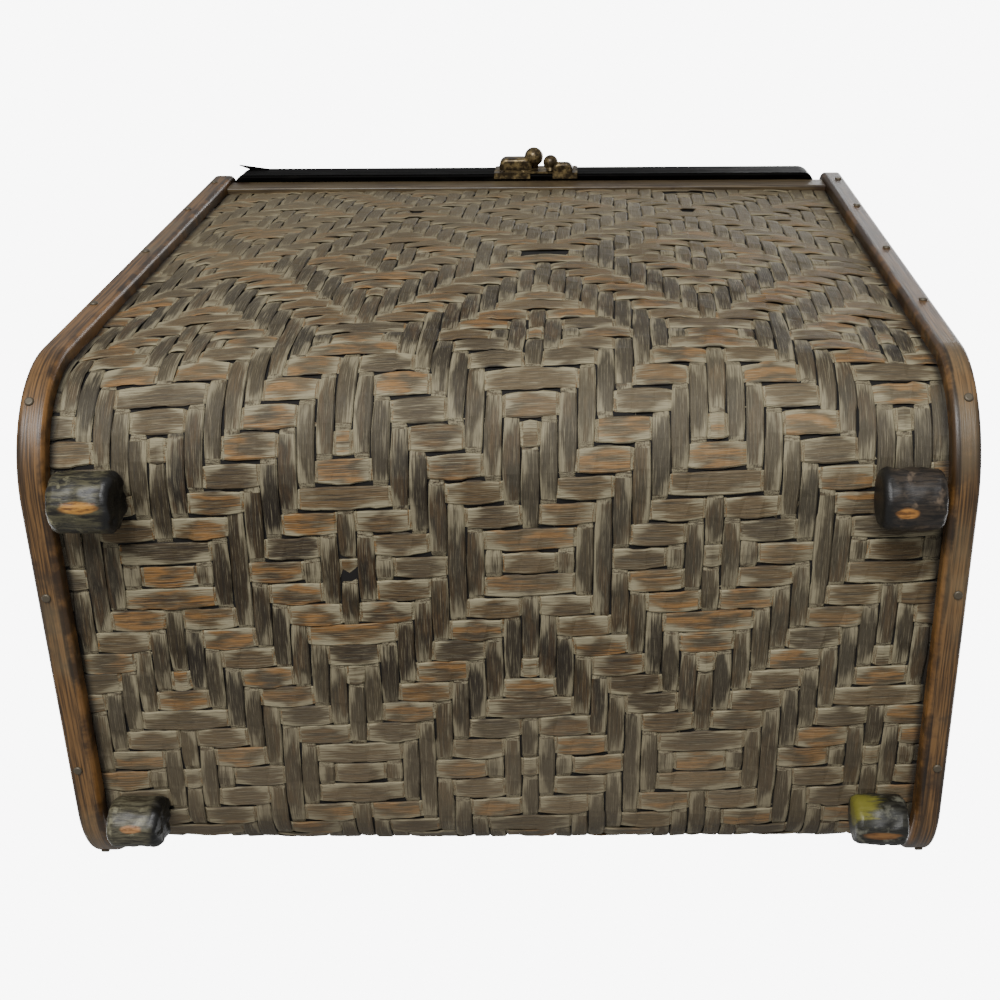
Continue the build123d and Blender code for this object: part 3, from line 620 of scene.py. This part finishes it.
def peg(name, paint, squash, length, ragged):
    """A hand-turned peg: eased rims, uneven surface, ragged inner end, and a worn lowest line."""
    lo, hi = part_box(name)
    middle = (lo + hi) / 2
    radius = PEG_RADIUS * MM
    inner = -1 if middle.x > 0 else 1
    bm = bmesh.new()
    bmesh.ops.create_cone(bm, cap_ends=True, segments=56, radius1=radius, radius2=radius, depth=length * MM)
    rims = [e for e in bm.edges if abs(e.verts[0].co.z - e.verts[1].co.z) < 1e-6]
    bmesh.ops.bevel(bm, geom=rims, offset=2.4 * MM, segments=4, profile=0.5, affect="EDGES", material=-1)
    for k in range(-5, 6):
        bmesh.ops.bisect_plane(bm, geom=bm.verts[:] + bm.edges[:] + bm.faces[:],
                               plane_co=(0, 0, k * length * MM / 14), plane_no=(0, 0, 1))
    caps = [f for f in bm.faces if len(f.verts) > 20]
    for _ in range(3):
        bmesh.ops.inset_region(bm, faces=caps, thickness=1.6 * MM)
    bmesh.ops.rotate(bm, verts=bm.verts, matrix=Matrix.Rotation(math.pi / 2, 3, "Y"))
    offset = Vector((7.3, 1.7, 4.1)) * (2 + inner + middle.y * 30)
    for vert in bm.verts:
        p = vert.co.copy()
        rough = noise.fractal(p * 230 + offset, 0.6, 2.0, 4)
        out = Vector((0, p.y, p.z))
        if out.length > 1e-6:
            vert.co += out.normalized() * rough * 0.5 * MM
        if ragged:
            torn = max(0.0, (p.x * inner - (length / 2 - TORN) * MM) / (TORN * MM))
            vert.co.x += inner * noise.noise(p * 300 + offset) * 1.2 * MM * torn
            vert.co += out * noise.noise(p * 350 + offset) * 0.12 * torn
        vert.co.y *= squash
        vert.co += Vector((middle.x, middle.y, hi.z - PEG_AXIS * MM))
        vert.co.z = max(vert.co.z, 0.0)
    for face in bm.faces:
        face.smooth = True
    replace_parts(hand_over(bm, name + "_worn", paint, "case"), name)


peg("foot_front_left",
    peg_paint("peg_paint_green_grey", *GREEN_GREY, ((-118.4, -54.2, 0), (6.0, 2.1, 2.8)),
              end=(-109.5, 1, "#060504")), 1.0, 18.5, True)
peg("foot_front_right",
    peg_paint("peg_paint_black_brown", *BLACK_BROWN, ((116.6, -51.5, 0), (3.6, 2.0, 2.5)),
              end=(109.5, -1, "#0a0806")), 1.0, 18.5, False)
peg("foot_back_left",
    peg_paint("peg_paint_grey_green", *GREY_GREEN, ((-119, 58.4, 0), (4.0, 1.5, 2.5)),
              end=(-110.5, 1, "#060504")), 0.82, 16.5, True)
peg("foot_back_right",
    peg_paint("peg_paint_blue_black", *BLUE_BLACK, ((119, 61.4, 0), (6.5, 1.5, 2.0)),
              moss=((112, 55, 8), 8.0)), 0.82, 17.0, False)

# ---- stage ------------------------------------------------------------------------------
bm = bmesh.new()
bmesh.ops.create_grid(bm, x_segments=1, y_segments=1, size=3.0)
mesh = bpy.data.meshes.new("floor")
bm.to_mesh(mesh)
bm.free()
floor = bpy.data.objects.new("floor", mesh)
bpy.context.scene.collection.objects.link(floor)
# The floor is a plain pale sheet from above and clear from below, where the bag is seen.
floor_look, tree, shader = new_material("pale_floor_one_sided")
feed(shader, {"Base Color": srgb("#e8e6e2"), "Roughness": 0.9})
clear = add(tree, "BsdfTransparent")
below = add(tree, "NewGeometry", out="Backfacing")
one_sided = add(tree, "MixShader", {0: below, 1: shader.outputs[0], 2: clear})
feed(tree.nodes["Material Output"], {"Surface": one_sided})
mesh.materials.append(floor_look)
floor.visible_shadow = False
floor.visible_diffuse = False
floor.visible_glossy = False

# The studio's walls read as pure white, and light the bag only softly.
WALLS, SOFT_LIGHT = 8.0, 0.42
world = bpy.data.worlds.new("studio")
bpy.context.scene.world = world
world.use_nodes = True
tree = world.node_tree
seen = add(tree, "LightPath", out="Is Camera Ray")
strength = add(tree, "Math", {0: seen, 1: WALLS, 2: SOFT_LIGHT}, operation="MULTIPLY_ADD")
feed(tree.nodes["Background"], {0: (1, 1, 1, 1), 1: strength})


def lamp(name, place, aim, size, power):
    data = bpy.data.lights.new(name, "AREA")
    data.size = size
    data.energy = power
    made = bpy.data.objects.new(name, data)
    bpy.context.scene.collection.objects.link(made)
    made.location = place
    made.rotation_euler = (Vector(aim) - Vector(place)).to_track_quat("-Z", "Y").to_euler()


lamp("key", (-0.25, -1.2, -0.8), (0, 0, 0.1), 0.6, 25.0)
lamp("top", (0.6, 0.1, 1.5), (0, 0, 0.2), 0.9, 14.0)
for side, sign in (("right", 1), ("left", -1)):
    lamp("fill_" + side, (1.2 * sign, 0.9, 1.0), (0, 0, 0.15), 0.8, 10.0)

# ---- camera -----------------------------------------------------------------------------
CAMERA_AT = Vector((25.02, -231.07, -373.12)) * MM
LOOK = Vector((-0.00702, 0.42873, 0.9034))
ROLL = math.radians(0.62)
data = bpy.data.cameras.new("camera")
data.sensor_width = 36.0
data.lens = 52.66
data.shift_x, data.shift_y = -0.074, 0.0073
data.clip_start = 0.02
camera = bpy.data.objects.new("camera", data)
bpy.context.scene.collection.objects.link(camera)
camera.location = CAMERA_AT
rolled = LOOK.to_track_quat("-Z", "Y") @ Matrix.Rotation(ROLL, 4, "Z").to_quaternion()
camera.rotation_euler = rolled.to_euler()
bpy.context.scene.camera = camera
